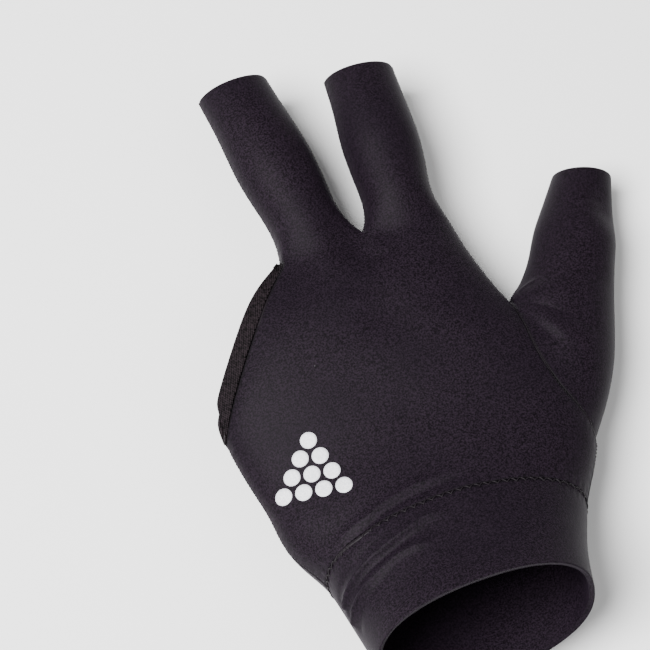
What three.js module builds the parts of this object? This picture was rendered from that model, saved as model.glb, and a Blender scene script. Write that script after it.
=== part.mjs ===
// A three-finger billiard glove of stretch cloth for the left side, palm down, in the form it keeps in use.
// Millimetres. +X points to the thumb sleeve, +Y to the finger sleeves, and +Z out of the glove's back.
// The origin is the centre of the wrist opening. A panel for the back and one for the palm are sewn
// together at the sides and form the sleeves of the index finger and middle finger. The thumb's sleeve is
// sewn into a hole between them. One bound opening is left for the ring finger and little finger.
import * as THREE from "three";

// Cloth
const clothWall = 1.1;
const cuffWall = 2.0; // a doubled hem
const bindingWall = 2.0; // a tape folded over the cloth's edge
const bindingWidth = 4.8;
const bindingDraw = 1.2; // how far the tape's free edge is drawn in
const bindingAtWeb = 0.3; // its width where it rounds the middle finger's web, as a share of bindingWidth
const bindingAtSide = 0.3; // its width where it rounds the little finger's side, as a share of bindingWidth
const seamGap = 0.3; // between two pieces that are sewn edge to edge
const sharpestMitre = 2.5; // a seam's corner is drawn back at most this many times as far as the seam

// Wrist
const wristWidth = 65;
const wristDepth = 42;
const wristBend = 27; // degrees that the cuff rises from the plane of the palm
const cuffLength = 26;

// Hand
const palmLength = 100; // from the cuff seam to the webs of the fingers
const palmWidth = 92;
const palmDepth = 31;
const palmSink = 14; // how far the middle of the palm lies below the wrist opening
const openingReach = 24.8; // how far the middle finger's web stands out past a line from side to side
const webDepth = 11; // height of the web between two fingers

// Sleeves
const indexLength = 54.9;
const indexWidth = 22.5;
const middleLength = 62.3;
const middleWidth = 23;
const fingerDepth = 20;
const thumbLength = 66; // from the middle of the thumb seam
const thumbStand = 1.6; // how far its axis stands out from the middle of the seam
const thumbWidth = 23;
const thumbDepth = 22;
const thumbSink = 11; // how far the end of the thumb lies below the middle of the palm

// Directions of the sleeves and of their ends, in degrees anticlockwise
const indexTurn = -5;
const indexEndTurn = -1;
const middleTurn = 6.7;
const middleEndTurn = -4;
const thumbTurn = -29.7;
const thumbEndTurn = 9;

// The cloth is evened out round the webs of the fingers and the crotch of the thumb
const evenReach = 13;
const evenStrength = 0.5;
const evenRounds = 3;

// Folds in the cloth
const foldRise = 1.6;
const foldSpread = 6;

// Looks of the cloth and of the binding tape
const clothColour = 0x17141a;
const tapeColour = 0x121114;
const clothRoughness = 0.7;
const tapeRoughness = 0.9;

// Mesh steps round the hand, from its thumb side over its back to its little finger side
const indexSteps = 7;
const middleSteps = 6;
const openingSteps = 9;
const webSteps = 4;
const bindingSteps = 2;
const bindingWebFade = 1.2; // steps from the web to the tape's full width
const bindingSideFade = 3; // steps from the little finger's side to the tape's full width
const sideSteps = indexSteps + middleSteps + openingSteps;
const roundSteps = 2 * sideSteps;

// The form of a section across the hand. Shares of its width are measured from its thumb side.
const indexWeb = 0.238;
const middleWeb = 0.478;
const webSpread = 0.09;
const webRound = 0.13; // how far the web's edge bulges forward, as a share of webDepth
const ovalPower = 2.3; // 2 is an ellipse, and more is squarer
const openingRound = 0.87; // 1 gives the opening a straight front edge, and less a rounder one
const thumbSideGain = 0.25; // how much thicker the thumb side is than the little finger side

// The hole that the thumb sleeve is sewn into, in degrees round the section from the thumb side
const holeBack = 40;
const holePalm = 50;
const holeRound = 0.7; // 1 gives the hole pointed ends, and less gives round ones

// Sections of the cuff, from the wrist opening. thumb, little: half widths as shares of wristWidth.
// thumbFore, littleFore: shares of the cuff's reach along Y. sink: share of palmSink. bend: share of
// wristBend. back, palm: shares of wristDepth.
const cuffSections = table(
  ["at", "steps", "thumb", "thumbFore", "little", "littleFore", "sink", "bend", "back", "palm"],
  ["wrist opening", 4, 0.475, 0, 0.475, 0, 0, 1, 0.5, 0.5],
  ["middle of the cuff", 4, 0.53, 0.52, 0.505, 0.58, 0.4, 0.95, 0.47, 0.48],
);

// Sections of the hand, from the cuff seam to the webs. thumb, little: shares of palmWidth to either side.
// thumbFore, littleFore: shares of palmLength. sink: share of palmSink. bend: share of wristBend.
// reach: share of openingReach. corner: 0 is a round front edge, and 1 has a corner at the middle
// finger's web.
const handSections = table(
  ["at", "steps", "thumb", "thumbFore", "little", "littleFore", "sink", "bend", "reach", "corner"],
  ["cuff seam", 4, 0.443, 0.021, 0.39, 0.048, 0.78, 0.95, 0.1, 0],
  ["foot of the thumb seam", 4, 0.547, 0.171, 0.462, 0.176, 0.93, 0.55, 0.13, 0],
  ["ball of the thumb", 3, 0.605, 0.326, 0.483, 0.306, 1, 0.17, 0.2, 0],
  ["middle of the palm", 4, 0.58, 0.496, 0.509, 0.416, 1, 0, 0.33, 0.1],
  ["crotch of the thumb", 4, 0.468, 0.682, 0.522, 0.486, 1, 0, 0.5, 0.3],
  ["knuckles", 4, 0.412, 0.84, 0.526, 0.52, 1, 0, 0.72, 0.6],
  ["webs", 0, 0.39, 0.965, 0.528, 0.535, 1, 0, 1, 1],
);

// Heights of the same sections. back, palm: shares of palmDepth. valley: 1 brings the cloth down to the webs.
const handHeights = table(
  ["at", "back", "palm", "valley"],
  ["cuff seam", 0.61, 0.64, 0],
  ["foot of the thumb seam", 0.54, 0.64, 0],
  ["ball of the thumb", 0.48, 0.62, 0],
  ["middle of the palm", 0.45, 0.57, 0],
  ["crotch of the thumb", 0.44, 0.5, 0],
  ["knuckles", 0.42, 0.44, 0.2],
  ["webs", 0.36, 0.37, 1],
);

// Sections of a finger's sleeve. along: share of its length from the web. wide, deep: shares of its width
// and depth. turn: share of the turn of its end. sink: share of its depth below the middle of the palm.
const fingerSections = table(
  ["at", "steps", "along", "wide", "deep", "turn", "sink"],
  ["above the web", 2, 0.19, 0.93, 1.02, 0, 0],
  ["shaft", 2, 0.37, 1, 0.99, 0, -0.03],
  ["middle joint", 3, 0.57, 1.05, 1, 0, -0.04],
  ["past the joint", 2, 0.8, 0.98, 0.92, 0.3, 0.02],
  ["end", 2, 1, 0.96, 0.84, 1, 0.12],
);

// Sections of the thumb's sleeve. along: share of thumbLength. wide, deep: shares of thumbWidth and
// thumbDepth. turn: share of the turn of its end. sink: share of thumbSink.
const thumbSections = table(
  ["at", "steps", "along", "wide", "deep", "turn", "sink"],
  ["heel", 3, 0.19, 1.64, 1.24, -3, 0.35],
  ["base", 3, 0.39, 1.25, 1.1, -0.2, 0.52],
  ["shaft", 2, 0.53, 1.1, 1.05, 0, 0.62],
  ["joint", 2, 0.68, 1.07, 1, 0.2, 0.74],
  ["past the joint", 2, 0.84, 0.92, 0.9, 0.5, 0.88],
  ["end", 2, 1, 0.79, 0.79, 1, 1],
);

// Folds on the back. Each runs from one point to another. across: shares of palmWidth from the origin.
// fore: shares of palmLength from the cuff seam. rise, spread: shares of foldRise and foldSpread. A dent
// has a negative rise.
const folds = table(
  ["at", "fromAcross", "fromFore", "toAcross", "toFore", "rise", "spread"],
  ["valley below the index web", 0.09, 0.9, 0.06, 0.72, -0.8, 1.3],
  ["fold from the crotch along the thumb", 0.5, 0.66, 0.72, 0.6, 0.7, 0.6],
  ["crease beside it", 0.5, 0.62, 0.68, 0.53, -0.7, 0.6],
  ["ridge above the cuff seam", -0.33, 0.1, 0.1, 0.13, 0.6, 0.5],
  ["crease in the cuff", -0.34, -0.1, 0.05, -0.02, -0.6, 0.5],
  ["valley down the thumb seam", 0.5, 0.6, 0.54, 0.3, -0.5, 0.7],
);

function table(columns, ...rows) {
  return rows.map((row) => Object.fromEntries(columns.map((column, i) => [column, row[i]])));
}

const radians = THREE.MathUtils.degToRad;
const mix = THREE.MathUtils.lerp;
const at = (x, y, z = 0) => new THREE.Vector3(x, y, z);
const cuffReach = cuffLength * Math.cos(radians(wristBend));

// A smooth value between b and c, with a before them and d after them
function smooth(a, b, c, d, share) {
  const rise = (c - a) / 2;
  const leave = (d - b) / 2;
  const bend = 2 * (b - c) + rise + leave;
  return b + share * (rise + share * (c - b - rise - bend + share * bend));
}

// All sections across the cuff and the hand, in millimetres and degrees
function keySections() {
  const cuff = cuffSections.map((row) => ({
    steps: row.steps,
    thumbX: row.thumb * wristWidth,
    thumbY: row.thumbFore * cuffReach,
    littleX: -row.little * wristWidth,
    littleY: row.littleFore * cuffReach,
    z: -row.sink * palmSink,
    bend: row.bend * wristBend,
    reach: 0,
    corner: 0,
    back: row.back * wristDepth,
    palm: row.palm * wristDepth,
    valley: 0,
  }));
  const hand = handSections.map((row, i) => ({
    steps: row.steps,
    thumbX: row.thumb * palmWidth,
    thumbY: cuffReach + row.thumbFore * palmLength,
    littleX: -row.little * palmWidth,
    littleY: cuffReach + row.littleFore * palmLength,
    z: -row.sink * palmSink,
    bend: row.bend * wristBend,
    reach: row.reach * openingReach,
    corner: row.corner,
    back: handHeights[i].back * palmDepth,
    palm: handHeights[i].palm * palmDepth,
    valley: handHeights[i].valley,
  }));
  return [...cuff, ...hand];
}

// The key sections with smooth ones between them. starts holds the number of each key section in the list.
function allSections(keys) {
  const sections = [];
  const starts = [];
  keys.forEach((key, i) => {
    starts.push(sections.length);
    const before = keys[Math.max(i - 1, 0)];
    const next = keys[Math.min(i + 1, keys.length - 1)];
    const after = keys[Math.min(i + 2, keys.length - 1)];
    for (let step = 0; step < Math.max(key.steps, 1); step++) {
      const section = {};
      for (const column of Object.keys(key)) {
        const values = [before, key, next, after].map((row) => row[column]);
        section[column] = smooth(...values, step / (key.steps || 1));
      }
      sections.push(section);
    }
  });
  return { sections, starts };
}

// The angle of each mesh step on one side of a section. It starts at the thumb's side, from the hole's edge.
function sideAngles(hole) {
  const webAngle = (share) => Math.acos(1 - 2 * share);
  const stops = [radians(hole), webAngle(indexWeb), webAngle(middleWeb), Math.PI];
  const angles = [stops[0]];
  [indexSteps, middleSteps, openingSteps].forEach((steps, i) => {
    for (let step = 1; step <= steps; step++) angles.push(mix(stops[i], stops[i + 1], step / steps));
  });
  return angles;
}

// A point of a section. side is 1 on the back and -1 on the palm.
function sectionPoint(section, angle, side) {
  const share = (1 - Math.cos(angle)) / 2;
  const oval = (1 - Math.abs(Math.cos(angle)) ** ovalPower) ** (1 / ovalPower);
  const gain = 1 + thumbSideGain * (1 - section.bend / wristBend) * (0.5 - share);
  const full = (side > 0 ? section.back : section.palm) * oval * gain;
  const dips = [indexWeb, middleWeb].map((web) => Math.exp(-(((share - web) / webSpread) ** 2)));
  const dip = Math.min(dips[0] + dips[1], 1);
  const height = mix(full, Math.min(full, webDepth / 2), section.valley * dip);

  const thumbSide = at(section.thumbX, section.thumbY);
  const littleSide = at(section.littleX, section.littleY);
  const forward = littleSide.clone().sub(thumbSide).normalize().cross(at(0, 0, 1));
  const round = Math.sin(Math.PI * share ** (Math.log(0.5) / Math.log(middleWeb)));
  const corner = Math.min(share / middleWeb, ((1 - share) / (1 - middleWeb)) ** openingRound);
  const point = thumbSide.clone().lerp(littleSide, share);
  point.addScaledVector(forward, section.reach * mix(round, corner, section.corner));
  point.z = section.z;
  const bend = radians(section.bend);
  return point.addScaledVector(at(0, Math.sin(bend), Math.cos(bend)), side * height);
}

// The points round each section: over the back, then under the palm to the thumb side again. The first and
// the last point are one, except where the thumb's hole parts them.
function handRows(sections, holeStart, holeEnd) {
  return sections.map((section, i) => {
    const open = i > holeStart && i < holeEnd;
    const width = open ? Math.sin((Math.PI * (i - holeStart)) / (holeEnd - holeStart)) ** holeRound : 0;
    const row = sideAngles(width * holeBack).map((angle) => sectionPoint(section, angle, 1));
    const palm = sideAngles(width * holePalm).map((angle) => sectionPoint(section, angle, -1));
    for (let step = sideSteps - 1; step > 0; step--) row.push(palm[step]);
    row.push(open ? palm[0] : row[0]);
    return row;
  });
}

// Points down a web's edge, from the back to the palm, without its ends
function webEdge(top, bottom) {
  const points = [];
  for (let step = 1; step < webSteps; step++) {
    const turn = (Math.PI * step) / webSteps;
    const point = top.clone().lerp(bottom, (1 - Math.cos(turn)) / 2);
    points.push(point.add(at(0, webRound * webDepth * Math.sin(turn))));
  }
  return points;
}

// The skin of the whole glove: a list of four-cornered faces that share their corners
const skin = [];

// pieceAt gives the name of the piece that holds the face from one step round to the next
function addFaces(pieceAt, near, far, closed = true) {
  const count = closed ? near.length : near.length - 1;
  for (let i = 0; i < count; i++) {
    const next = (i + 1) % near.length;
    skin.push({ piece: pieceAt(i), corners: [near[i], far[i], far[next], near[next]] });
  }
}

// The palm's panel holds the steps from palmStart up to palmEnd, and the back's panel holds the others
function panels(palmStart, palmEnd) {
  return (i) => (i >= palmStart && i < palmEnd ? "hand_palm" : "hand_back");
}

// A sleeve from a loop of points on the hand. lead holds the point before each point of the loop, or null.
function addSleeve(pieceAt, sleeve, loop, lead) {
  const turn = radians(sleeve.turn);
  const axis = at(-Math.sin(turn), Math.cos(turn));
  const rings = sleeve.sections.map((row) => {
    const centre = sleeve.base.clone().addScaledVector(axis, row.along * sleeve.length);
    centre.z -= row.sink * sleeve.sink;
    const across = at(1, 0).applyAxisAngle(at(0, 0, 1), turn + radians(row.turn * sleeve.endTurn));
    return loop.map((_, i) => {
      const angle = (2 * Math.PI * (i + sleeve.shift)) / loop.length;
      const point = centre.clone().addScaledVector(across, (Math.cos(angle) * row.wide * sleeve.width) / 2);
      return point.add(at(0, 0, (Math.sin(angle) * row.deep * sleeve.depth) / 2));
    });
  });
  const lines = loop.map((point, i) => {
    const keys = [point, ...rings.map((ring) => ring[i])];
    if (lead[i]) keys.unshift(lead[i]);
    return { curve: new THREE.CatmullRomCurve3(keys), spans: keys.length - 1, first: lead[i] ? 1 : 0 };
  });
  let near = loop;
  sleeve.sections.forEach((row, i) => {
    for (let step = 1; step <= row.steps; step++) {
      const place = i + step / row.steps;
      const far = lines.map(({ curve, spans, first }) => curve.getPoint((first + place) / spans));
      addFaces(pieceAt, near, far);
      near = far;
    }
  });
}

// The hand and the cuff
const { sections, starts } = allSections(keySections());
const sectionNames = [...cuffSections, ...handSections].map((row) => row.at);
const startOf = (name) => starts[sectionNames.indexOf(name)];
const cuffSeam = startOf("cuff seam");
const holeStart = startOf("foot of the thumb seam");
const holeEnd = startOf("crotch of the thumb");
const rows = handRows(sections, holeStart, holeEnd);
rows.slice(1).forEach((row, i) => {
  addFaces(i < cuffSeam ? () => "wrist_cuff" : panels(sideSteps, roundSteps), rows[i], row, false);
});

// Two sleeves and the opening share the front edge of the hand, with a web on either side of the middle
// sleeve
const front = rows.at(-1);
const behind = rows.at(-2);
const middleStart = indexSteps;
const middleEnd = indexSteps + middleSteps;
const indexEdge = webEdge(front[middleStart], front[roundSteps - middleStart]);
const middleEdge = webEdge(front[middleEnd], front[roundSteps - middleEnd]);
const noLead = indexEdge.map(() => null);
const stretch = (row, start, end) => row.slice(start, end + 1);

const indexLoop = [
  ...stretch(front, 0, middleStart),
  ...indexEdge,
  ...stretch(front, roundSteps - middleStart, roundSteps - 1),
];
const indexLead = [
  ...stretch(behind, 0, middleStart),
  ...noLead,
  ...stretch(behind, roundSteps - middleStart, roundSteps - 1),
];
const middleLoop = [
  ...stretch(front, middleStart, middleEnd),
  ...middleEdge,
  ...stretch(front, roundSteps - middleEnd, roundSteps - middleStart),
  ...indexEdge.toReversed(),
];
const middleLead = [
  ...stretch(behind, middleStart, middleEnd),
  ...noLead,
  ...stretch(behind, roundSteps - middleEnd, roundSteps - middleStart),
  ...noLead,
];
const openingLoop = [...stretch(front, middleEnd, roundSteps - middleEnd), ...middleEdge.toReversed()];

const between = (a, b) => a.clone().lerp(b, 0.5).setZ(-palmSink);
addSleeve(
  panels(indexSteps + webSteps / 2, indexLoop.length),
  {
    sections: fingerSections,
    base: between(front[0], front[middleStart]),
    length: indexLength,
    width: indexWidth,
    depth: fingerDepth,
    sink: fingerDepth,
    turn: indexTurn,
    endTurn: indexEndTurn,
    shift: 0,
  },
  indexLoop,
  indexLead,
);
addSleeve(
  panels(middleSteps + webSteps / 2, middleLoop.length - webSteps / 2),
  {
    sections: fingerSections,
    base: between(front[middleStart], front[middleEnd]),
    length: middleLength,
    width: middleWidth,
    depth: fingerDepth,
    sink: fingerDepth,
    turn: middleTurn,
    endTurn: middleEndTurn,
    shift: webSteps / 2,
  },
  middleLoop,
  middleLead,
);

// The thumb's sleeve starts at the foot of its seam. It goes up the back's edge of the hole and down the
// palm's.
const holeRows = rows.slice(holeStart + 1, holeEnd);
const column = (place) => holeRows.map((row) => row[place]);
const foot = rows[holeStart][0];
const crotch = rows[holeEnd][0];
addSleeve(
  () => "thumb_sleeve",
  {
    sections: thumbSections,
    base: between(foot, crotch).add(at(thumbStand, 0)),
    length: thumbLength,
    width: thumbWidth,
    depth: thumbDepth,
    sink: thumbSink,
    turn: thumbTurn,
    endTurn: thumbEndTurn,
    shift: 0,
  },
  [foot, ...column(0), crotch, ...column(roundSteps).toReversed()],
  [null, ...column(1), null, ...column(roundSteps - 1).toReversed()],
);

// The binding stands on the edge of the ring finger's and little finger's opening
const outward = front[sideSteps].clone().sub(front[middleEnd]).setZ(0).normalize().cross(at(0, 0, 1));
const openingSum = openingLoop.reduce((sum, point) => sum.add(point), at(0, 0));
const openingMiddle = openingSum.divideScalar(openingLoop.length);
let bindingRow = openingLoop;
for (let step = 1; step <= bindingSteps; step++) {
  const row = openingLoop.map((point, i) => {
    const fromWeb = Math.max(Math.min(i, 2 * openingSteps - i), 0);
    const fromSide = Math.abs(i - openingSteps);
    const atWeb = mix(bindingAtWeb, 1, Math.min(fromWeb / bindingWebFade, 1));
    const atSide = mix(bindingAtSide, 1, Math.min(fromSide / bindingSideFade, 1));
    const share = (step / bindingSteps) * atWeb * atSide;
    const inward = openingMiddle.clone().sub(point).normalize();
    const place = point.clone().addScaledVector(outward, share * bindingWidth);
    return place.addScaledVector(inward, share * bindingDraw);
  });
  addFaces(() => "finger_opening_binding", bindingRow, row);
  bindingRow = row;
}

// The edges of a piece that have a face on one side only, each with that face on its left
function borderOf(faces) {
  const leaving = new Map();
  for (const { corners } of faces) {
    corners.forEach((corner, i) => {
      if (!leaving.has(corner)) leaving.set(corner, new Set());
      leaving.get(corner).add(corners[(i + 1) % corners.length]);
    });
  }
  const border = [];
  for (const [from, ends] of leaving) {
    for (const to of ends) {
      if (!leaving.get(to).has(from)) border.push([from, to]);
    }
  }
  return border;
}

// Draws each point near one of the places towards the middle of its neighbours. Free edges stay.
function evenOut(places) {
  const neighbours = new Map();
  for (const { corners } of skin) {
    corners.forEach((corner, i) => {
      if (!neighbours.has(corner)) neighbours.set(corner, new Set());
      neighbours.get(corner).add(corners[(i + 1) % corners.length]).add(corners.at(i - 1));
    });
  }
  borderOf(skin).flat().forEach((point) => neighbours.delete(point));
  for (let round = 0; round < evenRounds; round++) {
    const moves = new Map();
    for (const [point, around] of neighbours) {
      const distance = Math.min(...places.map((place) => place.distanceTo(point)));
      const middle = [...around].reduce((sum, other) => sum.add(other), at(0, 0)).divideScalar(around.size);
      const strength = evenStrength * Math.exp(-((distance / evenReach) ** 2));
      moves.set(point, middle.sub(point).multiplyScalar(strength));
    }
    moves.forEach((move, point) => point.add(move));
  }
}

// The direction out of the skin at each of its points
function skinNormals() {
  const normals = new Map();
  for (const { corners } of skin) {
    const normal = corners[2].clone().sub(corners[0]).cross(corners[3].clone().sub(corners[1]));
    for (const corner of corners) {
      if (!normals.has(corner)) normals.set(corner, at(0, 0, 0));
      normals.get(corner).add(normal);
    }
  }
  for (const normal of normals.values()) normal.normalize();
  return normals;
}

// Moves the skin in and out along the folds on the back of the glove
function addFolds() {
  const normals = skinNormals();
  for (const [point, normal] of normals) {
    let rise = 0;
    for (const fold of folds) {
      const from = at(fold.fromAcross * palmWidth, cuffReach + fold.fromFore * palmLength);
      const to = at(fold.toAcross * palmWidth, cuffReach + fold.toFore * palmLength);
      const flat = point.clone().setZ(0);
      const near = new THREE.Line3(from, to).closestPointToPoint(flat, true, at(0, 0, 0));
      rise += fold.rise * foldRise * Math.exp(-((near.distanceTo(flat) / (fold.spread * foldSpread)) ** 2));
    }
    point.addScaledVector(normal, rise * Math.max(normal.z, 0));
  }
}

const webMiddles = [indexEdge, middleEdge].map((edge) => edge[Math.floor(edge.length / 2)].clone());
evenOut([...webMiddles, crotch.clone()]);
addFolds();
const normals = skinNormals();

// The number of each point. Both sides of a seam use it, to split the faces of its edge alike.
const order = new Map([...normals.keys()].map((point, i) => [point, i]));

// The pieces that meet at each point of the skin
const piecesAt = new Map();
for (const { piece, corners } of skin) {
  for (const corner of corners) {
    if (!piecesAt.has(corner)) piecesAt.set(corner, new Set());
    piecesAt.get(corner).add(piece);
  }
}

// How far each point on a piece's seams is drawn back into the piece, so that the seam keeps its gap
function seamShifts(border) {
  const ways = new Map();
  for (const ends of border.filter((points) => points.every((point) => piecesAt.get(point).size > 1))) {
    for (const point of ends) {
      if (!ways.has(point)) ways.set(point, []);
      ways.get(point).push(normals.get(point).clone().cross(ends[1].clone().sub(ends[0])).normalize());
    }
  }
  const shifts = new Map();
  for (const [point, sides] of ways) {
    const shift = sides.reduce((sum, side) => sum.add(side), at(0, 0)).divideScalar(sides.length);
    shifts.set(point, shift.setLength((seamGap / 2) * Math.min(1 / shift.length(), sharpestMitre)));
  }
  return shifts;
}

// One piece of cloth as a closed solid. proud: how far its outer face stands out of the skin. At its seams it
// is as thick as the cloth.
function clothPiece(name, wall, proud, colour, roughness) {
  const faces = skin.filter((face) => face.piece === name);
  const border = borderOf(faces);
  const shifts = seamShifts(border);
  const points = [...new Set(faces.flatMap((face) => face.corners))];
  const numbers = new Map(points.map((point, i) => [point, i]));
  const outer = [];
  const inner = [];
  for (const point of points) {
    const seam = piecesAt.get(point).size > 1;
    const place = point.clone().add(shifts.get(point) ?? at(0, 0, 0));
    const normal = normals.get(point);
    outer.push(...place.clone().addScaledVector(normal, seam ? 0 : proud).toArray());
    inner.push(...place.clone().addScaledVector(normal, seam ? -clothWall : proud - wall).toArray());
  }
  const triangles = [];
  const count = points.length;
  for (const { corners } of faces) {
    const [a, b, c, d] = corners.map((corner) => numbers.get(corner));
    const short = corners[0].distanceTo(corners[2]) < corners[1].distanceTo(corners[3]);
    const halves = short ? [[a, b, c], [a, c, d]] : [[a, b, d], [b, c, d]];
    for (const [p, q, r] of halves) {
      triangles.push(p, q, r);
      triangles.push(r + count, q + count, p + count);
    }
  }
  for (const [start, end] of border) {
    const [from, to] = [numbers.get(start), numbers.get(end)];
    const [innerFrom, innerTo] = [from + count, to + count];
    if (order.get(start) < order.get(end)) {
      triangles.push(to, from, innerFrom);
      triangles.push(to, innerFrom, innerTo);
    } else {
      triangles.push(from, innerFrom, innerTo);
      triangles.push(from, innerTo, to);
    }
  }
  const geometry = new THREE.BufferGeometry();
  geometry.setAttribute("position", new THREE.Float32BufferAttribute([...outer, ...inner], 3));
  geometry.setIndex(triangles);
  geometry.computeVertexNormals();
  const material = new THREE.MeshStandardMaterial({ color: colour, roughness, metalness: 0 });
  const mesh = new THREE.Mesh(geometry, material);
  mesh.name = name;
  return mesh;
}

const cuffProud = (cuffWall - clothWall) / 2;
const bindingProud = (bindingWall - clothWall) / 2;
const glove = new THREE.Group();
glove.name = "billiard_glove";
glove.add(
  clothPiece("hand_back", clothWall, 0, clothColour, clothRoughness),
  clothPiece("hand_palm", clothWall, 0, clothColour, clothRoughness),
  clothPiece("thumb_sleeve", clothWall, 0, clothColour, clothRoughness),
  clothPiece("wrist_cuff", cuffWall, cuffProud, clothColour, clothRoughness),
  clothPiece("finger_opening_binding", bindingWall, bindingProud, tapeColour, tapeRoughness),
);
export default glove;
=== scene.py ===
"""A three-finger billiard glove for the left side, dressed in stretch cloth round its CAD solids.

Lengths are in metres, and the named sizes are given as millimetres times MM. +X points to the thumb
sleeve, +Y to the finger sleeves and +Z out of the glove's back."""
import math

import bmesh
import bpy
import numpy as np
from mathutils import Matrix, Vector, noise
from mathutils.bvhtree import BVHTree


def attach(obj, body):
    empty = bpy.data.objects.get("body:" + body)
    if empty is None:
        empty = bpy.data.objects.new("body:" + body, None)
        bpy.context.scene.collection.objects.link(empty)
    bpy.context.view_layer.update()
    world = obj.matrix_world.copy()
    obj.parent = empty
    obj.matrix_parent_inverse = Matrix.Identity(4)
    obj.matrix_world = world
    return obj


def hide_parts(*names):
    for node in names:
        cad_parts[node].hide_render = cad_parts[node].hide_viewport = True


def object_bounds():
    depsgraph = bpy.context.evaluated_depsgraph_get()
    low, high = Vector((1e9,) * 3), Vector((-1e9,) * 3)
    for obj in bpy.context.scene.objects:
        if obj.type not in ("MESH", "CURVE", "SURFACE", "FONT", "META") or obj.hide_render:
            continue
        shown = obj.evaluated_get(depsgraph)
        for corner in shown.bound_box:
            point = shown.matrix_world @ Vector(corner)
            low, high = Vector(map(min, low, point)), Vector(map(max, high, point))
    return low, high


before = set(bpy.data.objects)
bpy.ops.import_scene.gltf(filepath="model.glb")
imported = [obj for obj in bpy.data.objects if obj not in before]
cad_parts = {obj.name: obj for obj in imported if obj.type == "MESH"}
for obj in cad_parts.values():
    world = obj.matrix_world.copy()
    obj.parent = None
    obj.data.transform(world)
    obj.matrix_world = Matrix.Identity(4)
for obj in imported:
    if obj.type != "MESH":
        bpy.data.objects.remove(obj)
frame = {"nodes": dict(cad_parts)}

cad_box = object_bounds()
MM = 0.001

# The picture's frame and its camera. Azimuth 0 looks along +Y, and elevation is above the horizon, both in
# degrees.
picture_width = 650  # pixels
view_azimuth = -20
view_elevation = 70
view_distance = 620 * MM
view_aim = Vector((-9.67, 101.41, -14)) * MM
view_breadth = 188.5 * MM  # what the picture spans at the aim point
sensor_width = 36
nearest_seen = 10 * MM
farthest_seen = 10000 * MM

# Cloth
weld_distance = 0.005 * MM  # corners of the loose triangles that are nearer than this are one point
rim_angle = math.radians(55)  # edges between faces that meet at more than this are rims of the cloth
rim_crease = 0.45  # 1 would keep a rim's corners sharp
cloth_thinning = 0.3 * MM  # how far the cloth's inner face is drawn towards its outer one
cuff_thinning = 0.8 * MM
surely_inside = 0.99  # the mark of points that lie wholly on the inner face
surely_outside = 0.01
back_levels = 3  # how often each face is split in four
back_share = 0.8  # the share of the back's faces that is kept
palm_levels = 2
small_levels = 3
wave_rise = 0.16 * MM  # slow waves in the cloth
wave_size = 15 * MM

# Seams
shortest_line = 4  # points, for a stretch of rim that counts as a seam
seam_steps = 12  # points of the smooth seam for each point of the rim
seam_reach = 0.6 * MM  # points of two rims that are nearer to each other than this share a seam
seam_shade_reach = 12 * MM  # the cloth's own note of how far a seam is ends here
pucker_rise = 0.07 * MM
pucker_pitch = 2.9 * MM
pucker_place = 1.7 * MM  # from the seam to the middle of its puckers
pucker_spread = 1.2 * MM

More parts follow.
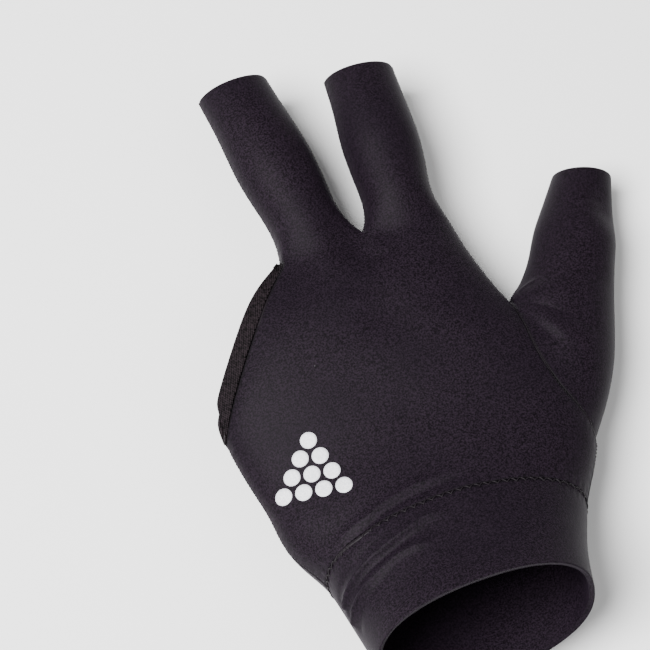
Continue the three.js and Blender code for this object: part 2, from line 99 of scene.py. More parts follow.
# Folds, along points of the picture in pixels. rise: how far the cloth stands out along the fold, or in
# where it is negative. spread: half the fold's breadth. Both are in millimetres. crest: 2 is round and less
# is sharper. start, end: the shares of its length over which it fades in and out.
fold_steps = 8  # points of the smooth fold for each point of its row
fold_columns = ["fold", "rise", "spread", "crest", "start", "end", "points"]
fold_rows = [
    ["ridge above the cuff seam", 0.75, 1.3, 1.4, 0.25, 0.3,
     [(319, 567), (338, 541), (354, 527), (371, 514), (384, 503), (399, 494), (414, 485), (428, 480),
      (443, 473), (470, 466)]],
    ["valley above the cuff seam", -0.55, 1.4, 1.8, 0.2, 0.3,
     [(326, 570), (343, 550), (360, 533), (377, 518), (394, 506), (411, 497), (428, 489), (446, 482),
      (470, 474), (500, 470)]],
    ["valley above the cuff's ridges", -0.4, 1.3, 1.8, 0, 0.5,
     [(340, 600), (341, 590), (345, 578), (353, 565), (364, 552), (377, 540), (390, 530)]],
    ["upper ridge of the cuff", 1.3, 0.9, 1.2, 0, 0.15,
     [(345, 607), (346, 597), (350, 586), (358, 573), (369, 560), (382, 549), (395, 538), (408, 529),
      (421, 519), (436, 512), (450, 506)]],
    ["valley between the cuff's ridges", -0.6, 1.2, 1.8, 0, 0.4,
     [(349, 614), (351, 600), (357, 587), (366, 574), (378, 562), (391, 551), (404, 541), (418, 532),
      (432, 525)]],
    ["lower ridge of the cuff", 1.3, 0.9, 1.2, 0, 0.15,
     [(354, 623), (354, 612), (357, 601), (364, 590), (375, 577), (386, 566), (397, 556), (410, 549),
      (421, 544), (435, 539)]],
    ["valley below the cuff's ridges", -0.35, 1.3, 1.8, 0, 0.5,
     [(360, 628), (361, 615), (365, 603), (373, 592), (384, 580), (396, 569)]],
    ["wrinkle at the thumb's crotch", 0.3, 0.7, 1.5, 0.2, 0.5,
     [(518, 292), (525, 286), (533, 281), (543, 276)]],
    ["long crease across the thumb", -0.4, 0.7, 1.3, 0.1, 0.35,
     [(516, 300), (524, 301), (539, 305), (549, 307), (559, 310), (569, 313), (577, 317), (589, 324),
      (597, 328), (606, 333)]],
    ["soft fold below the crease", 0.55, 2.6, 2, 0.2, 0.4,
     [(520, 304), (535, 312), (550, 321), (566, 331), (580, 341)]],
    ["valley below the soft fold", -0.45, 2.0, 2, 0.1, 0.4,
     [(521, 308), (530, 316), (542, 326), (555, 337), (569, 350)]],
    ["knob below the index web", 1.1, 3.4, 2, 0.3, 0.3, [(366, 240), (376, 247), (386, 254)]],
    ["valley below the index web", -0.6, 7, 2, 0, 0.3, [(358, 250), (352, 270), (352, 300)]],
    ["hem of the thumb sleeve", -0.22, 0.8, 1.6, 0.3, 0.3, [(566, 206), (580, 199), (594, 198), (606, 202)]],
    ["joint of the thumb", 1.1, 8, 2, 0, 0, [(606, 242), (607, 262)]],
    ["waist of the thumb sleeve", -0.8, 5, 2, 0, 0, [(602, 198), (603, 208)]],
]

# The tape round the finger opening
tape_top = (262, 290)  # pixels, two places that give the direction of its twill
tape_foot = (219, 405)
taper_centre = (222, 439)  # pixels, where the tape runs out
taper_reach = 11 * MM
taper_draw = 0.85  # how much of its width it loses there

# The print on the back: a triangle of discs
print_centre = (312, 474)  # pixels
print_turn = math.radians(136)
print_rows = 4
disc_radius = 2.35 * MM
disc_pitch = 5.6 * MM
print_film = 0.07 * MM
print_drop = 30 * MM  # the height above the cloth from which it is laid on
disc_rings = 3
disc_segments = 28

# Stitches. length: of one stitch. slant: from the seam's direction, to either side in turn. lift: how high a
# stitch lies, as a share of the thread's radius. aside: from the seam. The cord closes the seam from below.
fine_cord = {"cord_radius": 0.48 * MM, "cord_depth": 0.8 * MM}
fine_stitch = {"pitch": 1.05 * MM, "length": 0.75 * MM, "thread_radius": 0.1 * MM, "slant": 0.0, "lift": 0.2}
cuff_cord = {"cord_radius": 0.75 * MM, "cord_depth": 1.0 * MM}
cuff_stitch = {
    "pitch": 1.35 * MM,
    "length": 2.0 * MM,
    "thread_radius": 0.21 * MM,
    "slant": math.radians(38),
    "lift": 0.8,
}
tape_stitch_aside = 0.55 * MM
slant_wobble = 0.12  # radians
wobble_seed = 7
stitch_steps = 6
stitch_sides = 6
stitch_sink = 1.3  # how deep a stitch's ends go in, in radii of the thread
stitch_bow = 2.2  # how high its middle bows, in radii of the thread
cord_sides = 8

# The floor and the lights. place: in metres. size: its breadth in metres. power: in watts.
floor_half = 3
floor_gap = 1 * MM
light_columns = ["name", "place", "size", "power"]
light_rows = [
    ["key_light", (-0.55, 0.05, 1.0), 0.7, 46],
    ["fill_light", (0.6, -0.4, 1.1), 1.0, 4],
]
sky_strength = 0.4


def place_camera():
    azimuth = math.radians(view_azimuth)
    elevation = math.radians(view_elevation)
    level = math.cos(elevation)
    back = Vector((math.sin(azimuth) * level, -math.cos(azimuth) * level, math.sin(elevation)))
    lens = bpy.data.cameras.new("camera")
    lens.sensor_width = sensor_width
    lens.lens = sensor_width * view_distance / view_breadth
    lens.clip_start = nearest_seen
    lens.clip_end = farthest_seen
    camera = bpy.data.objects.new("camera", lens)
    camera.location = view_aim + back * view_distance
    camera.rotation_mode = "QUATERNION"
    camera.rotation_quaternion = (-back).to_track_quat("-Z", "Y")
    bpy.context.scene.collection.objects.link(camera)
    bpy.context.scene.camera = camera
    bpy.context.view_layer.update()
    return camera


camera = place_camera()


def link_piece(name, mesh):
    piece = bpy.data.objects.new(name, mesh)
    bpy.context.scene.collection.objects.link(piece)
    return piece


# Cloth


def centre_of(points):
    return sum(points, Vector()) / len(points)


def middle_of(nodes):
    """The mean place of the nodes' points"""
    return centre_of([vertex.co for node in nodes for vertex in frame["nodes"][node].data.vertices])


glove_middle = middle_of(frame["nodes"])


def cloth_form(node):
    """A copy of the node's solid in four-cornered faces. Its rims are creased, and its points have a value
    inside, which is 1 on the inner face."""
    form = bmesh.new()
    form.from_mesh(frame["nodes"][node].data)
    bmesh.ops.remove_doubles(form, verts=form.verts, dist=weld_distance)
    bmesh.ops.join_triangles(
        form,
        faces=form.faces,
        angle_face_threshold=rim_angle,
        angle_shape_threshold=math.pi,
        topology_influence=1,
    )
    crease = form.edges.layers.float.new("crease_edge")
    inside = form.verts.layers.float.new("inside")
    for edge in form.edges:
        if edge.calc_face_angle(0) > rim_angle:
            edge[crease] = rim_crease
    sheets = sorted(sheets_of(form, crease), key=lambda faces: sum(face.calc_area() for face in faces))
    inner_sheet = min(sheets[-2:], key=outwardness)
    for face in inner_sheet:
        for point in face.verts:
            point[inside] = 1
    return form


def outwardness(faces):
    """Above 0 where the faces look away from the glove's middle"""
    total = 0
    for face in faces:
        total += face.calc_area() * face.normal.dot(face.calc_center_median() - glove_middle)
    return total


def sheets_of(form, crease):
    """The faces in groups that no crease parts"""
    left = set(form.faces)
    sheets = []
    while left:
        sheet = []
        waiting = [left.pop()]
        while waiting:
            face = waiting.pop()
            sheet.append(face)
            for edge in face.edges:
                if edge[crease]:
                    continue
                for other in edge.link_faces:
                    if other in left:
                        left.remove(other)
                        waiting.append(other)
        sheets.append(sheet)
    return sheets


def rim_loops(form):
    """Each closed loop round the form's outer face, as points in order"""
    inside = form.verts.layers.float["inside"]
    outer = {face for face in form.faces if not any(point[inside] for point in face.verts)}
    beside = {}
    for edge in form.edges:
        if sum(face in outer for face in edge.link_faces) == 1:
            start, end = edge.verts
            beside.setdefault(start, []).append(end)
            beside.setdefault(end, []).append(start)
    loops = []
    while beside:
        point, sides = beside.popitem()
        loop = [point]
        step = sides[0]
        while step in beside:
            loop.append(step)
            sides = beside.pop(step)
            step = sides[0] if sides[0] is not loop[-2] else sides[-1]
        loops.append([spot.co.copy() for spot in loop])
    return loops


def shared_lines(form, other):
    """The stretches of the form's rim that the other form is sewn to, each as points in order"""
    inside = other.verts.layers.float["inside"]
    outer = [point.co for point in other.verts if not point[inside]]
    lines = []
    for loop in rim_loops(form):
        shared = [min((point - place).length for place in outer) < seam_reach for point in loop]
        first = shared.index(False) if False in shared else 0
        last = first + len(loop)
        line = []
        for i in range(first, last + 1):
            if i < last and shared[i % len(loop)]:
                line.append(loop[i % len(loop)])
            else:
                if len(line) >= shortest_line:
                    lines.append(line)
                line = []
    return lines


def loop_near(form, place):
    """The loop of the rim whose middle is nearest to a place"""
    return min(rim_loops(form), key=lambda loop: (centre_of(loop) - place).length)


def finer(name, form, levels):
    """The form as a smooth mesh with each face split levels times"""
    mesh = bpy.data.meshes.new(name)
    form.to_mesh(mesh)
    piece = link_piece(name, mesh)
    rounding = piece.modifiers.new("rounding", "SUBSURF")
    rounding.levels = levels
    rounding.render_levels = levels
    settle(piece)
    piece.data.shade_smooth()
    return piece


def settle(piece):
    """Turns what the piece's modifiers make into its plain mesh"""
    evaluated = piece.evaluated_get(bpy.context.evaluated_depsgraph_get())
    piece.data = bpy.data.meshes.new_from_object(evaluated)
    piece.modifiers.clear()
    piece.data.name = piece.name


def lighten(piece, share):
    """Takes faces out of the cloth's inner side, and leaves a share of all its faces"""
    hidden = np.flatnonzero(values_of(piece.data, "inside") > surely_inside)
    inner = piece.vertex_groups.new(name="inner")
    inner.add(hidden.tolist(), 1.0, "REPLACE")
    fewer = piece.modifiers.new("fewer", "DECIMATE")
    fewer.ratio = share
    fewer.vertex_group = inner.name
    settle(piece)


def points_of(mesh):
    places = np.empty(len(mesh.vertices) * 3)
    mesh.vertices.foreach_get("co", places)
    return places.reshape(-1, 3)


def normals_of(mesh):
    normals = np.empty(len(mesh.vertices) * 3)
    mesh.vertex_normals.foreach_get("vector", normals)
    return normals.reshape(-1, 3)


def values_of(mesh, name):
    values = np.empty(len(mesh.vertices))
    mesh.attributes[name].data.foreach_get("value", values)
    return values


def keep_values(mesh, name, values):
    layer = mesh.attributes.get(name) or mesh.attributes.new(name, "FLOAT", "POINT")
    layer.data.foreach_set("value", values.astype(np.float32))


def smooth_path(points, steps, closed=False):
    """Points on a smooth line through the given ones"""
    count = len(points)
    spans = count if closed else count - 1
    path = []
    for span in range(spans):
        if closed:
            a, b, c, d = (points[(span + k) % count] for k in (-1, 0, 1, 2))
        else:
            a, b, c, d = (points[min(max(span + k, 0), count - 1)] for k in (-1, 0, 1, 2))
        for step in range(steps):
            t = step / steps
            bend = (2 * a - 5 * b + 4 * c - d) * t**2 + (3 * b - a - 3 * c + d) * t**3
            path.append(b + ((c - a) * t + bend) / 2)
    if not closed:
        path.append(points[-1].copy())
    return path


def nearest_on(path, places):
    """For each place, how far the path is and the number of its nearest point"""
    path = np.array([tuple(point) for point in path])
    distance = np.full(len(places), np.inf)
    number = np.zeros(len(places), int)
    for i, point in enumerate(path):
        far = np.linalg.norm(places - point, axis=1)
        closer = far < distance
        distance[closer] = far[closer]
        number[closer] = i
    return distance, number


# Places that are read off the picture


def cloth_tree():
    """The surface of all the CAD solids, to find what a pixel of the picture shows"""
    points = []
    faces = []
    for node in frame["nodes"].values():
        start = len(points)
        points += [vertex.co.copy() for vertex in node.data.vertices]
        faces += [[start + number for number in face.vertices] for face in node.data.polygons]
    return BVHTree.FromPolygons(points, faces)


bare_glove = cloth_tree()


def seen_at(pixel):
    """The place on the glove at a pixel of the picture"""
    turn = camera.matrix_world.to_3x3()
    pixel_size = view_breadth / view_distance / picture_width
    middle = picture_width / 2
    ray = Vector(((pixel[0] - middle) * pixel_size, (middle - pixel[1]) * pixel_size, -1))
    place = bare_glove.ray_cast(camera.location, (turn @ ray).normalized())[0]
    if place is None:
        raise ValueError(f"the picture's pixel {pixel} doesn't lie on the glove")
    return place


# Folds


def fold_fade(share, start, end):
    """0 at an end of the fold that fades, and 1 past its fade"""
    fade = min(share / start, 1) if start else 1
    if end:
        fade *= min((1 - share) / end, 1)
    return fade * fade * (3 - 2 * fade)


def lay_folds(piece):
    """Moves the cloth in and out along its folds, with both of its faces together"""
    mesh = piece.data
    places = points_of(mesh)
    outward = normals_of(mesh) * (1 - 2 * values_of(mesh, "inside"))[:, None]
    rise = np.zeros(len(places))
    for row in fold_rows:
        fold = dict(zip(fold_columns, row))
        path = smooth_path([seen_at(pixel) for pixel in fold["points"]], fold_steps)
        distance, number = nearest_on(path, places)
        shares = [i / (len(path) - 1) for i in range(len(path))]
        fades = np.array([fold_fade(share, fold["start"], fold["end"]) for share in shares])
        shape = np.exp(-((distance / (fold["spread"] * MM)) ** fold["crest"]))
        rise += fold["rise"] * MM * fades[number] * shape
    rise += wave_rise * np.array([noise.noise(Vector(place) / wave_size) for place in places])
    mesh.vertices.foreach_set("co", (places + outward * rise[:, None]).ravel())
    mesh.update()


def thin(piece, amount):
    """Draws the inner face of the cloth towards its outer one"""
    mesh = piece.data
    inward = normals_of(mesh) * values_of(mesh, "inside")[:, None]
    mesh.vertices.foreach_set("co", (points_of(mesh) - inward * amount).ravel())
    mesh.update()


def lengths_along(path):
    lengths = [0]
    for start, end in zip(path, path[1:]):
        lengths.append(lengths[-1] + (end - start).length)
    return np.array(lengths)


def note_seams(piece, seams):
    """Keeps on the cloth how far its nearest seam is, in millimetres, and puckers it beside the seams"""
    mesh = piece.data
    places = points_of(mesh)
    outward = normals_of(mesh) * (1 - 2 * values_of(mesh, "inside"))[:, None]
    nearest = np.full(len(places), seam_shade_reach)
    rise = np.zeros(len(places))
    for seam, closed in seams:
        path = smooth_path(seam, seam_steps, closed)
        distance, number = nearest_on(path, places)
        along = lengths_along(path)[number]
        beside = np.exp(-(((distance - pucker_place) / pucker_spread) ** 2))
        rise += pucker_rise * np.sin(2 * math.pi * along / pucker_pitch) * beside
        nearest = np.minimum(nearest, distance)
    mesh.vertices.foreach_set("co", (places + outward * rise[:, None]).ravel())
    mesh.update()
    keep_values(mesh, "seam", nearest / MM)


def facing(line, up, place):
    """The line in the direction that has the place to its left, where up points to the eye"""
    middle = len(line) // 2
    left = up.cross(line[middle + 1] - line[middle - 1])
    return line if left.dot(place - line[middle]) > 0 else line[::-1]


def taper_foot(tape, seams, foot):
    """Draws the tape in towards its seam where it ends at its foot"""
    places = points_of(tape.data)
    line = np.array([tuple(point) for seam in seams for point in smooth_path(seam, seam_steps)])
    near = np.array([line[np.linalg.norm(line - place, axis=1).argmin()] for place in places])
    share = np.clip(1 - np.linalg.norm(places - np.array(foot), axis=1) / taper_reach, 0, 1)
    share = share * share * (3 - 2 * share) * taper_draw
    tape.data.vertices.foreach_set("co", (places + (near - places) * share[:, None]).ravel())
    tape.data.update()


def note_across(tape, seams):
    """Keeps on the tape how far each of its points is from its seam, in millimetres"""
    places = points_of(tape.data)
    distances = [nearest_on(smooth_path(seam, seam_steps), places)[0] for seam in seams]
    keep_values(tape.data, "across", np.min(distances, axis=0) / MM)


def outer_skin(name, pieces):
    """The outer faces of some pieces as one mesh, to lay threads on"""
    points = []
    faces = []
    for piece in pieces:
        mesh = piece.data
        inside = values_of(mesh, "inside")
        corners = np.empty(len(mesh.loops), int)
        mesh.loops.foreach_get("vertex_index", corners)
        corners = corners.reshape(-1, 4)
        outer = corners[inside[corners].max(axis=1) < surely_outside]
        faces += (outer + len(points)).tolist()
        points += points_of(mesh).tolist()
    mesh = bpy.data.meshes.new(name)
    mesh.from_pydata(points, [], faces)
    mesh.shade_smooth()
    return link_piece(name, mesh)


back_form = cloth_form("hand_back")
palm_form = cloth_form("hand_palm")
thumb_form = cloth_form("thumb_sleeve")
cuff_form = cloth_form("wrist_cuff")
tape_form = cloth_form("finger_opening_binding")

hand_middle = middle_of(["hand_back"])
cuff_seam = loop_near(cuff_form, hand_middle)
thumb_seam = loop_near(thumb_form, hand_middle)
tape_middle = middle_of(["finger_opening_binding"])

above = Vector((0, 0, 1))
tape_seams = [facing(line, above, tape_middle) for line in shared_lines(back_form, tape_form)]
tape_seams += [facing(line, -above, tape_middle) for line in shared_lines(palm_form, tape_form)]

side_seams = shared_lines(back_form, palm_form)
round_seams = [(cuff_seam, True), (thumb_seam, True)]
all_seams = round_seams + [(seam, False) for seam in side_seams + tape_seams]

back_cloth = finer("back_cloth", back_form, back_levels)
palm_cloth = finer("palm_cloth", palm_form, palm_levels)
thumb_cloth = finer("thumb_cloth", thumb_form, small_levels)
cuff_cloth = finer("cuff_cloth", cuff_form, small_levels)
opening_tape = finer("opening_tape", tape_form, small_levels)
for form in (back_form, palm_form, thumb_form, cuff_form, tape_form):
    form.free()
for piece in (back_cloth, palm_cloth, thumb_cloth, cuff_cloth):
    lay_folds(piece)
    note_seams(piece, all_seams)
    thin(piece, cuff_thinning if piece == cuff_cloth else cloth_thinning)
taper_foot(opening_tape, tape_seams, seen_at(taper_centre))
note_across(opening_tape, tape_seams)

# The threads are laid on a skin of the outer faces, so the back's inner ones can be fewer afterwards
skin = outer_skin("outer_skin", [back_cloth, palm_cloth, thumb_cloth, cuff_cloth, opening_tape])
lighten(back_cloth, back_share)


# Node trees


class Socket:
    """A node's output. Sums, differences and products of it add Math nodes to its tree."""

    def __init__(self, nodes, socket):
        self.nodes = nodes
        self.socket = socket

    def maths(self, operation, *terms):
        return self.nodes.add("ShaderNodeMath", {"operation": operation}, dict(enumerate(terms)))

    def __add__(self, other):
        return self.maths("ADD", self, other)

    def __sub__(self, other):
        return self.maths("SUBTRACT", self, other)

    def __rsub__(self, other):
        return self.maths("SUBTRACT", other, self)

    def __mul__(self, other):
        return self.maths("MULTIPLY", self, other)

    __radd__ = __add__
    __rmul__ = __mul__

    def wave(self):
        return self.maths("SINE", self)

    def within(self, start, end):
        """0 up to start and 1 from end, with a smooth rise between them"""
        settings = {"interpolation_type": "SMOOTHSTEP"}
        inputs = {"Value": self, "From Min": start, "From Max": end}
        return self.nodes.add("ShaderNodeMapRange", settings, inputs)


class Nodes:
    """A node tree that is built one node at a time"""

    def __init__(self, tree):
        self.tree = tree

    def add(self, kind, settings=None, inputs=None, output=0):
        """Adds a node, and gives one of its outputs"""
        node = self.tree.nodes.new(kind)
        for name, value in (settings or {}).items():
            setattr(node, name, value)
        for place, value in (inputs or {}).items():
            if isinstance(value, Socket):
                self.tree.links.new(value.socket, node.inputs[place])
            else:
                node.inputs[place].default_value = value
        return Socket(self, node.outputs[output]) if node.outputs else None

    def mix(self, factor, first, second):
        """A colour between two colours"""
        return self.add("ShaderNodeMix", {"data_type": "RGBA"}, {0: factor, 6: first, 7: second}, 2)


def surface(name):
    """A new material and its empty node tree"""
    material = bpy.data.materials.new(name)
    material.use_nodes = True
    material.node_tree.nodes.clear()
    return material, Nodes(material.node_tree)


def finish_surface(nodes, settings):
    shader = nodes.add("ShaderNodeBsdfPrincipled", {}, settings)
    nodes.add("ShaderNodeOutputMaterial", {}, {"Surface": shader})


def grey(value):
    return (value, value, value, 1)


def colour(red, green, blue):
    return (red, green, blue, 1)


# Colours
cloth_dark = colour(0.0014, 0.0007, 0.0015)
cloth_light = colour(0.0126, 0.0078, 0.0132)
cloth_shade = colour(0.0044, 0.0027, 0.0052)
cloth_bloom = colour(0.8, 0.6, 0.9)
# painted shade: the dark tone the cloth takes beside its seams, standing in for the shade in the seams'
# grooves
painted_seam_shade = grey(0.003)
lint_tone = grey(0.1)
tape_dark = colour(0.0002, 0.0002, 0.0002)
tape_light = colour(0.0165, 0.0115, 0.0142)
thread_dark = colour(0.002, 0.0013, 0.002)
thread_light = colour(0.0105, 0.0072, 0.0102)
ink_dark = colour(0.6, 0.6, 0.64)
ink_light = colour(0.78, 0.78, 0.8)
floor_tone = grey(0.9)

# Sizes of the patterns on the surfaces, in millimetres
grain_size = 0.5
knit_width = 0.42
knit_length = 0.7
shade_size = 28
lint_size = 9
twill_pitch = 0.55
speckle_size = 0.75
strand_size = 0.16
groove_reach = 0.8  # how far from a seam its groove reaches
painted_seam_shade_range = (0.2, 0.9)
lint_range = (0.01, 0.022)  # from a speck's middle, as a share of lint_size

# The patterns' shares of the tone and of the relief. The slopes are those of the twill's two sets of lines.
shade_share = 0.4
painted_seam_shade_share = 0.7
lint_share = 0.5
grain_relief = 0.6
knit_relief = 0.5
groove_relief = 1.2
rib_slope = 0.8
cross_slope = 0.35
rib_share = 0.3
cross_share = 0.3
speckle_share = 0.9

# Ranges of the patterns' own values, over which one tone goes over into the other
lint_pick = (0.8, 0.85)
grain_range = (0.3, 0.72)
shade_range = (0.3, 0.75)
weave_range = (0.6, 0.98)
ink_range = (0.35, 0.7)


def place_in_mm(nodes):
    place = nodes.add("ShaderNodeTexCoord", {}, {}, "Object")
    return nodes.add("ShaderNodeVectorMath", {"operation": "SCALE"}, {0: place, "Scale": 1 / MM})


def stretch_cloth():
    """Black stretch knit: a fine matt grain, painted shade along its seams, a soft bloom at its edges, a few
    specks of lint
    """
    material, nodes = surface("stretch_cloth")
    place = place_in_mm(nodes)
    cells = (1 / knit_width, 1 / knit_length, 1 / knit_width)
    cell = nodes.add("ShaderNodeVectorMath", {"operation": "MULTIPLY"}, {0: place, 1: cells})
    grain = nodes.add("ShaderNodeTexNoise", {}, {"Vector": place, "Scale": 1 / grain_size, "Detail": 2.0})
    knit = nodes.add("ShaderNodeTexVoronoi", {"feature": "F1"}, {"Vector": cell, "Scale": 1.0})
    shade = nodes.add("ShaderNodeTexNoise", {}, {"Vector": place, "Scale": 1 / shade_size, "Detail": 2.0})
    spots = {"Vector": place, "Scale": 1 / lint_size}
    lint = nodes.add("ShaderNodeTexVoronoi", {"feature": "F1"}, spots)
    pick = nodes.add("ShaderNodeTexVoronoi", {"feature": "F1"}, spots, "Color")
    pick = nodes.add("ShaderNodeSeparateColor", {}, {"Color": pick})
    seam = nodes.add("ShaderNodeAttribute", {"attribute_name": "seam"}, {}, "Fac")

    speck = (1 - lint.within(*lint_range)) * pick.within(*lint_pick)
    tone = nodes.mix(grain.within(*grain_range), cloth_dark, cloth_light)
    tone = nodes.mix(shade.within(*shade_range) * shade_share, tone, cloth_shade)
    # painted shade: the cloth is darkened within about a millimetre of each seam, as if its groove lay in
    # shade
    tone = nodes.mix((1 - seam.within(*painted_seam_shade_range)) * painted_seam_shade_share, tone, painted_seam_shade)
    tone = nodes.mix(speck * lint_share, tone, lint_tone)

    groove = 1 - seam.within(0.0, groove_reach)
    height = grain * grain_relief + knit * knit_relief - groove * groove_relief
    bump = nodes.add("ShaderNodeBump", {}, {"Strength": 0.4, "Distance": 0.12 * MM, "Height": height})
    finish_surface(nodes, {
        "Base Color": tone,
        "Roughness": grain * 0.1 + 0.54,
        "Sheen Weight": 0.015,
        "Sheen Roughness": 0.45,
        "Sheen Tint": cloth_bloom,
        "Specular IOR Level": 0.06,
        "Normal": bump,
    })
    return material


def ribbed_tape():
    """Matt black tape in a fine steep twill"""
    material, nodes = surface("ribbed_tape")
    place = place_in_mm(nodes)
    rough = nodes.add("ShaderNodeTexNoise", {}, {"Vector": place, "Scale": 1 / speckle_size, "Detail": 2.0})
    way = {0: place, 1: tape_way}
    along = nodes.add("ShaderNodeVectorMath", {"operation": "DOT_PRODUCT"}, way, "Value")
    across = nodes.add("ShaderNodeAttribute", {"attribute_name": "across"}, {}, "Fac")
    turns = 2 * math.pi / twill_pitch
    ribs = ((along + across * rib_slope) * turns).wave() * 0.5 + 0.5
    cross = ((across - along * cross_slope) * turns).wave() * 0.5 + 0.5
    weave = ribs * rib_share + cross * cross_share + rough * speckle_share
    tone = nodes.mix(weave.within(*weave_range), tape_dark, tape_light)
    bump = nodes.add("ShaderNodeBump", {}, {"Strength": 0.7, "Distance": 0.16 * MM, "Height": weave})
    finish_surface(nodes, {
        "Base Color": tone,
        "Roughness": weave * 0.1 + 0.65,
        "Sheen Weight": 0.008,
        "Sheen Roughness": 0.5,
        "Specular IOR Level": 0.05,
        "Normal": bump,
    })
    return material


def thread():
    """Black polyester thread"""
    material, nodes = surface("thread")
    place = place_in_mm(nodes)
    strands = nodes.add("ShaderNodeTexNoise", {}, {"Vector": place, "Scale": 1 / strand_size, "Detail": 1.0})
    tone = nodes.mix(strands, thread_dark, thread_light)
    finish_surface(nodes, {
        "Base Color": tone,
        "Roughness": strands * 0.15 + 0.45,
        "Specular IOR Level": 0.12,
    })
    return material


def print_ink():
    """White film that is pressed on the knit, and takes its grain"""
    material, nodes = surface("print_ink")
    place = place_in_mm(nodes)
    grain = nodes.add("ShaderNodeTexNoise", {}, {"Vector": place, "Scale": 1 / grain_size, "Detail": 2.0})
    tone = nodes.mix(grain.within(*ink_range), ink_dark, ink_light)
    bump = nodes.add("ShaderNodeBump", {}, {"Strength": 0.3, "Distance": 0.1 * MM, "Height": grain})
    finish_surface(nodes, {"Base Color": tone, "Roughness": 0.5, "Normal": bump})
    return material


tape_way = (seen_at(tape_top) - seen_at(tape_foot)).normalized()
stretch_cloth_material = stretch_cloth()
ribbed_tape_material = ribbed_tape()
thread_material = thread()
print_ink_material = print_ink()


# Stitches


def seam_line(name, seams):
    """A curve with a smooth line through the points of each seam"""
    data = bpy.data.curves.new(name, "CURVE")
    data.dimensions = "3D"
    for seam, closed in seams:
        spline = data.splines.new("BEZIER")
        spline.bezier_points.add(len(seam) - 1)
        for point, place in zip(spline.bezier_points, seam):
            point.co = place
            point.handle_left_type = "AUTO"
            point.handle_right_type = "AUTO"
        spline.use_cyclic_u = closed
    line = bpy.data.objects.new(name, data)
    bpy.context.scene.collection.objects.link(line)
    return line


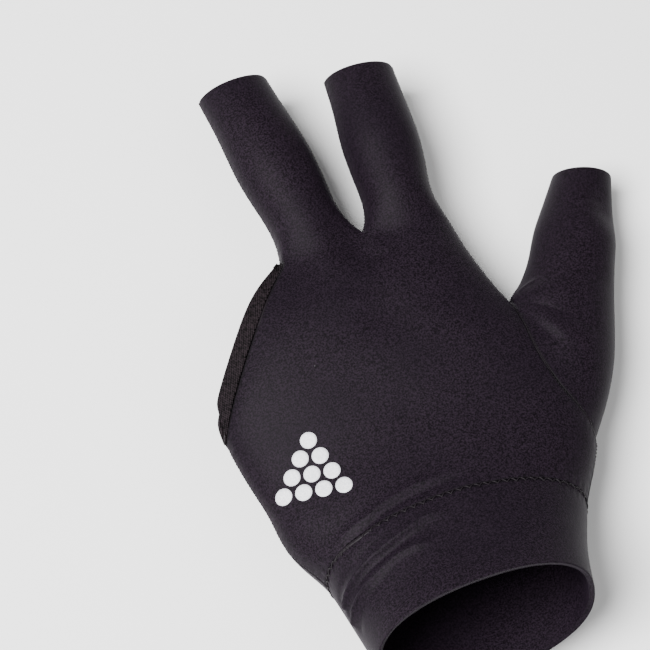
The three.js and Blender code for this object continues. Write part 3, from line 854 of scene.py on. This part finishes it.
def stitch_tree():
    """Stitches along a seam's line, which lie on the cloth below them, and a cord in the seam"""
    tree = bpy.data.node_groups.new("stitches", "GeometryNodeTree")
    face = tree.interface
    face.new_socket("Geometry", in_out="INPUT", socket_type="NodeSocketGeometry")
    for name, kind in (
        ("Seam", "Object"), ("Cloth", "Object"), ("Pitch", "Float"), ("Length", "Float"),
        ("Thread radius", "Float"), ("Slant", "Float"), ("Lift", "Float"), ("Cord radius", "Float"),
        ("Cord depth", "Float"), ("Aside", "Float"), ("Material", "Material"),
    ):
        face.new_socket(name, in_out="INPUT", socket_type="NodeSocket" + kind)
    face.new_socket("Geometry", in_out="OUTPUT", socket_type="NodeSocketGeometry")
    nodes = Nodes(tree)
    entry = tree.nodes.new("NodeGroupInput")
    given = {socket.name: Socket(nodes, socket) for socket in entry.outputs}

    def vector(kind, inputs):
        return nodes.add("ShaderNodeVectorMath", {"operation": kind}, inputs)

    def shape_of(given_object):
        where = {"transform_space": "RELATIVE"}
        return nodes.add("GeometryNodeObjectInfo", where, {"Object": given_object}, "Geometry")

    def ring(sides, radius):
        inputs = {"Resolution": sides, "Radius": radius}
        return nodes.add("GeometryNodeCurvePrimitiveCircle", {"mode": "RADIUS"}, inputs)

    line = shape_of(given["Seam"])
    cloth = shape_of(given["Cloth"])
    points = tree.nodes.new("GeometryNodeCurveToPoints")
    points.mode = "LENGTH"
    tree.links.new(line.socket, points.inputs["Curve"])
    tree.links.new(given["Pitch"].socket, points.inputs["Length"])
    tangent = Socket(nodes, points.outputs["Tangent"])
    dots = Socket(nodes, points.outputs["Points"])

    here = nodes.add("GeometryNodeInputPosition")
    normal = nodes.add(
        "GeometryNodeSampleNearestSurface",
        {"data_type": "FLOAT_VECTOR"},
        {"Mesh": cloth, "Value": nodes.add("GeometryNodeInputNormal"), "Sample Position": here},
    )
    surface_point = nodes.add(
        "GeometryNodeProximity", {"target_element": "FACES"}, {"Geometry": cloth, "Sample Position": here}
    )
    side = vector("NORMALIZE", {0: vector("CROSS_PRODUCT", {0: normal, 1: tangent})})
    aside = vector("SCALE", {0: side, "Scale": given["Aside"]})
    lifted = vector("SCALE", {0: normal, "Scale": given["Thread radius"] * given["Lift"]})
    placed = vector("ADD", {0: vector("ADD", {0: surface_point, 1: aside}), 1: lifted})
    dots = nodes.add("GeometryNodeSetPosition", {}, {"Geometry": dots, "Position": placed})

    number = nodes.add("GeometryNodeInputIndex")
    parity = number.maths("MODULO", number, 2) * 2 - 1
    chance = {2: -slant_wobble, 3: slant_wobble, "Seed": wobble_seed}
    wobble = nodes.add("FunctionNodeRandomValue", {"data_type": "FLOAT"}, chance, 1)
    slant = parity * given["Slant"] + wobble
    up = nodes.add("FunctionNodeAlignRotationToVector", {"axis": "Z"}, {"Vector": normal})
    turned = nodes.add(
        "FunctionNodeAlignRotationToVector",
        {"axis": "X", "pivot_axis": "Z"},
        {"Rotation": up, "Vector": tangent},
    )
    turned = nodes.add(
        "FunctionNodeRotateRotation",
        {"rotation_space": "LOCAL"},
        {"Rotation": turned, "Rotate By": nodes.add("ShaderNodeCombineXYZ", {}, {"Z": slant})},
    )

    half = given["Length"] * 0.5
    drop = given["Thread radius"] * -stitch_sink
    bow = nodes.add("GeometryNodeCurveQuadraticBezier", {}, {
        "Resolution": stitch_steps,
        "Start": nodes.add("ShaderNodeCombineXYZ", {}, {"X": half * -1, "Z": drop}),
        "Middle": nodes.add("ShaderNodeCombineXYZ", {}, {"Z": given["Thread radius"] * stitch_bow}),
        "End": nodes.add("ShaderNodeCombineXYZ", {}, {"X": half, "Z": drop}),
    })
    round_thread = ring(stitch_sides, given["Thread radius"])
    stitch = nodes.add(
        "GeometryNodeCurveToMesh", {}, {"Curve": bow, "Profile Curve": round_thread, "Fill Caps": True}
    )
    stitches = nodes.add(
        "GeometryNodeInstanceOnPoints", {}, {"Points": dots, "Instance": stitch, "Rotation": turned}
    )

    sunk = vector("SCALE", {0: normal, "Scale": given["Cord depth"] * -1})
    even = {"Curve": line, "Length": given["Pitch"]}
    cord_line = nodes.add("GeometryNodeResampleCurve", {"mode": "LENGTH"}, even)
    cord_line = nodes.add("GeometryNodeSetPosition", {}, {"Geometry": cord_line, "Offset": sunk})
    round_cord = ring(cord_sides, given["Cord radius"])
    cord = nodes.add(
        "GeometryNodeCurveToMesh", {}, {"Curve": cord_line, "Profile Curve": round_cord, "Fill Caps": True}
    )

    join = tree.nodes.new("GeometryNodeJoinGeometry")
    for part in (cord, stitches):
        tree.links.new(part.socket, join.inputs[0])
    whole = nodes.add("GeometryNodeRealizeInstances", {}, {"Geometry": Socket(nodes, join.outputs[0])})
    whole = nodes.add("GeometryNodeSetShadeSmooth", {}, {"Geometry": whole})
    whole = nodes.add("GeometryNodeSetMaterial", {}, {"Geometry": whole, "Material": given["Material"]})
    nodes.add("NodeGroupOutput", {}, {0: whole})
    return tree


stitches_tree = stitch_tree()


def stitch(name, **values):
    """A row of stitches as a plain mesh"""
    piece = link_piece(name, bpy.data.meshes.new(name))
    work = piece.modifiers.new("stitches", "NODES")
    work.node_group = stitches_tree
    for item in stitches_tree.interface.items_tree:
        key = item.name.replace(" ", "_").lower()
        if item.in_out == "INPUT" and key in values:
            work[item.identifier] = values[key]
    settle(piece)
    return piece


def sew(name, seams, **values):
    """Stitches along some seams, each given with whether it closes"""
    line = seam_line(name + "_line", seams)
    bpy.context.view_layer.update()
    piece = stitch(name, seam=line, cloth=skin, material=thread_material, **values)
    bpy.data.objects.remove(line)
    return piece


open_sides = [(seam, False) for seam in side_seams]
open_tape = [(seam, False) for seam in tape_seams]
cuff_stitches = sew("cuff_stitches", [(cuff_seam, True)], aside=0.0, **cuff_stitch, **cuff_cord)
thumb_stitches = sew("thumb_stitches", [(thumb_seam, True)], aside=0.0, **fine_stitch, **fine_cord)
side_stitches = sew("side_stitches", open_sides, aside=0.0, **fine_stitch, **fine_cord)
tape_stitches = sew("tape_stitches", open_tape, aside=tape_stitch_aside, **fine_stitch, **fine_cord)
bpy.data.objects.remove(skin)


# The print


def rack_print():
    """Ten discs in a triangle, each laid on the cloth of the back"""
    centre = seen_at(print_centre)
    tree = BVHTree.FromObject(back_cloth, bpy.context.evaluated_depsgraph_get())
    form = bmesh.new()

    def point_at(along, aside):
        """A point of the print, a film's thickness above the cloth"""
        x = centre.x + along * math.cos(print_turn) - aside * math.sin(print_turn)
        y = centre.y + along * math.sin(print_turn) + aside * math.cos(print_turn)
        spot, normal = tree.ray_cast(Vector((x, y, centre.z + print_drop)), -above)[:2]
        return form.verts.new(spot + normal * print_film)

    for row in range(print_rows):
        for place in range(row + 1):
            along = (row - (print_rows - 1) * 2 / 3) * disc_pitch * math.sin(math.pi / 3)
            aside = (place - row / 2) * disc_pitch
            rings = []
            for ring in range(disc_rings + 1):
                count = disc_segments if ring else 1
                radius = disc_radius * ring / disc_rings
                points = []
                for segment in range(count):
                    angle = 2 * math.pi * segment / count
                    forward = radius * math.cos(angle)
                    sideways = radius * math.sin(angle)
                    points.append(point_at(along + forward, aside + sideways))
                rings.append(points)
            for inner, outer in zip(rings, rings[1:]):
                for segment in range(disc_segments):
                    after = (segment + 1) % disc_segments
                    if len(inner) == 1:
                        form.faces.new((inner[0], outer[segment], outer[after]))
                    else:
                        form.faces.new((inner[segment], outer[segment], outer[after], inner[after]))
    mesh = bpy.data.meshes.new("rack_print")
    form.to_mesh(mesh)
    form.free()
    mesh.shade_smooth()
    piece = link_piece("rack_print", mesh)
    film = piece.modifiers.new("film", "SOLIDIFY")
    film.thickness = 2 * print_film
    film.offset = -1
    return piece


rack = rack_print()


# Materials, bodies and the CAD parts that each piece hides


def dress(piece, material, slot, *nodes):
    piece.data.materials.clear()
    piece.data.materials.append(material)
    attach(piece, "root")
    if nodes:
        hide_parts(*nodes)


dress(back_cloth, stretch_cloth_material, "stretch_cloth", "hand_back")
dress(palm_cloth, stretch_cloth_material, "stretch_cloth", "hand_palm")
dress(thumb_cloth, stretch_cloth_material, "stretch_cloth", "thumb_sleeve")
dress(cuff_cloth, stretch_cloth_material, "cuff_cloth", "wrist_cuff")
dress(opening_tape, ribbed_tape_material, "ribbed_tape", "finger_opening_binding")
dress(cuff_stitches, thread_material, "cuff_cloth")
dress(thumb_stitches, thread_material, "stretch_cloth")
dress(side_stitches, thread_material, "stretch_cloth")
dress(tape_stitches, thread_material, "ribbed_tape")
dress(rack, print_ink_material, "stretch_cloth")


# The floor and the studio light


def studio_floor():
    floor_material, nodes = surface("floor")
    finish_surface(nodes, {"Base Color": floor_tone, "Roughness": 0.9})
    mesh = bpy.data.meshes.new("floor")
    height = cad_box[0].z - floor_gap
    sides = ((-1, -1), (1, -1), (1, 1), (-1, 1))
    corners = [(across * floor_half, along * floor_half, height) for across, along in sides]
    mesh.from_pydata(corners, [], [range(len(corners))])
    mesh.materials.append(floor_material)
    floor = link_piece("floor", mesh)


def studio_light(name, place, aim, size, power):
    lamp = bpy.data.lights.new(name, "AREA")
    lamp.shape = "DISK"
    lamp.size = size
    lamp.energy = power
    light = bpy.data.objects.new(name, lamp)
    light.location = place
    light.rotation_mode = "QUATERNION"
    light.rotation_quaternion = (Vector(aim) - Vector(place)).to_track_quat("-Z", "Y")
    bpy.context.scene.collection.objects.link(light)


studio_floor()
for row in light_rows:
    studio_light(aim=view_aim, **dict(zip(light_columns, row)))
world = bpy.data.worlds.new("studio")
world.use_nodes = True
world.node_tree.nodes["Background"].inputs["Color"].default_value = grey(1)
world.node_tree.nodes["Background"].inputs["Strength"].default_value = sky_strength
bpy.context.scene.world = world
